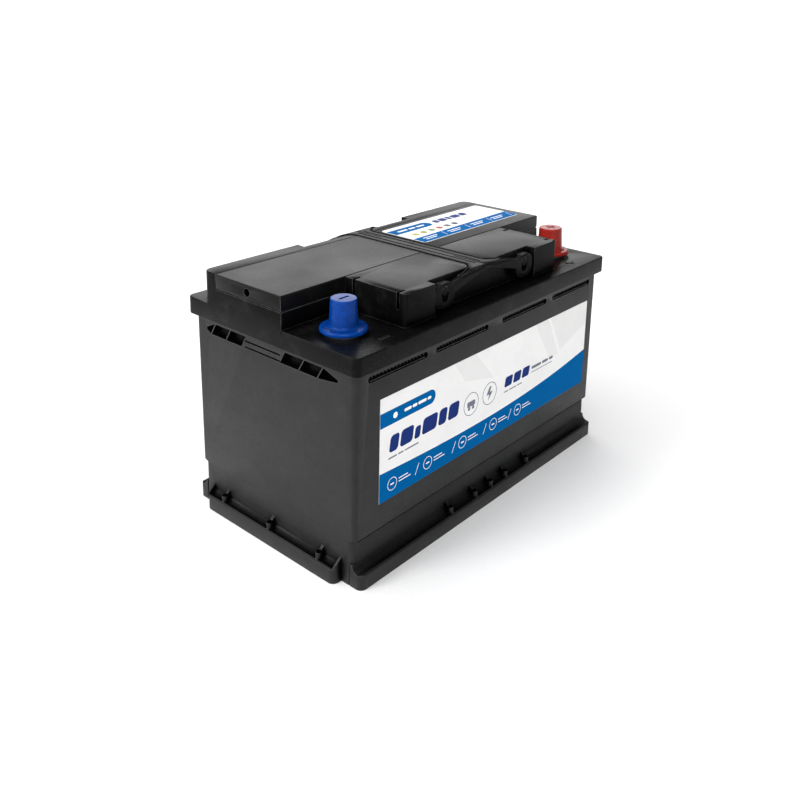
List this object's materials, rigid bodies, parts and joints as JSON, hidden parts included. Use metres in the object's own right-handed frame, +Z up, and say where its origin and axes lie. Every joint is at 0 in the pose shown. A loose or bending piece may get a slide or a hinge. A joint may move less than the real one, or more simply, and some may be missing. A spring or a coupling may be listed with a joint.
{
  "type": "deep cycle battery",
  "caption": "Sealed deep cycle leisure battery in a black ribbed case with a stepped lid, a carry strap, capped tapered posts and end vents.",
  "frame": {"origin": "centre of the underside of the case", "axes": "+X along the length towards the positive post, +Y from the front (posts and large label) to the back, +Z up"},
  "size_m": [0.315, 0.175, 0.1902],
  "materials": {
    "case_plastic": "near-black moulded polypropylene with a fine satin texture",
    "handle_plastic": "near-black flexible polypropylene, a little smoother than the case",
    "terminal_lead": null,
    "negative_cap_plastic": "blue polyethylene",
    "positive_cap_plastic": "red polyethylene",
    "valve_plastic": "dark grey moulded polypropylene",
    "seal_rubber": "black rubber",
    "arrestor_ceramic": "pale sintered porous disc",
    "plug_plastic": "black soft polyethylene",
    "positive_plate_paste": "dark brown lead dioxide paste on a lead grid",
    "negative_plate_lead": "grey spongy lead on a lead grid",
    "glass_mat_fabric": "white absorbent glass fibre mat",
    "label_film": "printed white vinyl film with blue bands"
  },
  "bodies": {
    "battery": {"container": "case_plastic", "lid": "case_plastic", "vent_cover": "case_plastic", "negative_terminal": "terminal_lead", "positive_terminal": "terminal_lead", "negative_pillar": "terminal_lead", "positive_pillar": "terminal_lead", "valve_plug_1": "valve_plastic", "valve_plug_2": "valve_plastic", "valve_plug_3": "valve_plastic", "valve_plug_4": "valve_plastic", "valve_plug_5": "valve_plastic", "valve_plug_6": "valve_plastic", "valve_seals": "seal_rubber", "flame_arrestor_left": "arrestor_ceramic", "flame_arrestor_right": "arrestor_ceramic", "positive_plates_1": "positive_plate_paste", "positive_plates_2": "positive_plate_paste", "positive_plates_3": "positive_plate_paste", "positive_plates_4": "positive_plate_paste", "positive_plates_5": "positive_plate_paste", "positive_plates_6": "positive_plate_paste", "negative_plates_1": "negative_plate_lead", "negative_plates_2": "negative_plate_lead", "negative_plates_3": "negative_plate_lead", "negative_plates_4": "negative_plate_lead", "negative_plates_5": "negative_plate_lead", "negative_plates_6": "negative_plate_lead", "glass_mats_1": "glass_mat_fabric", "glass_mats_2": "glass_mat_fabric", "glass_mats_3": "glass_mat_fabric", "glass_mats_4": "glass_mat_fabric", "glass_mats_5": "glass_mat_fabric", "glass_mats_6": "glass_mat_fabric", "cell_weld_1": "terminal_lead", "cell_weld_2": "terminal_lead", "cell_weld_3": "terminal_lead", "cell_weld_4": "terminal_lead", "cell_weld_5": "terminal_lead", "front_label": "label_film", "top_label": "label_film"},
    "handle": {"carry_handle": "handle_plastic"},
    "negative_post_cap": {"negative_cap": "negative_cap_plastic"},
    "positive_post_cap": {"positive_cap": "positive_cap_plastic"},
    "end_plug": {"vent_plug": "plug_plastic"}
  },
  "joints": [
    {"name": "handle_lift", "type": "slide", "parent": "battery", "child": "handle", "axis": [0, 0, 1], "range_m": [0, 0.0045]},
    {"name": "negative_cap_lift", "type": "slide", "parent": "battery", "child": "negative_post_cap", "axis": [0, 0, 1], "range_m": [0, 0.03]},
    {"name": "positive_cap_lift", "type": "slide", "parent": "battery", "child": "positive_post_cap", "axis": [0, 0, 1], "range_m": [0, 0.03]},
    {"name": "vent_plug_pull", "type": "slide", "parent": "battery", "child": "end_plug", "axis": [1, 0, 0], "range_m": [0, 0.012]}
  ]
}
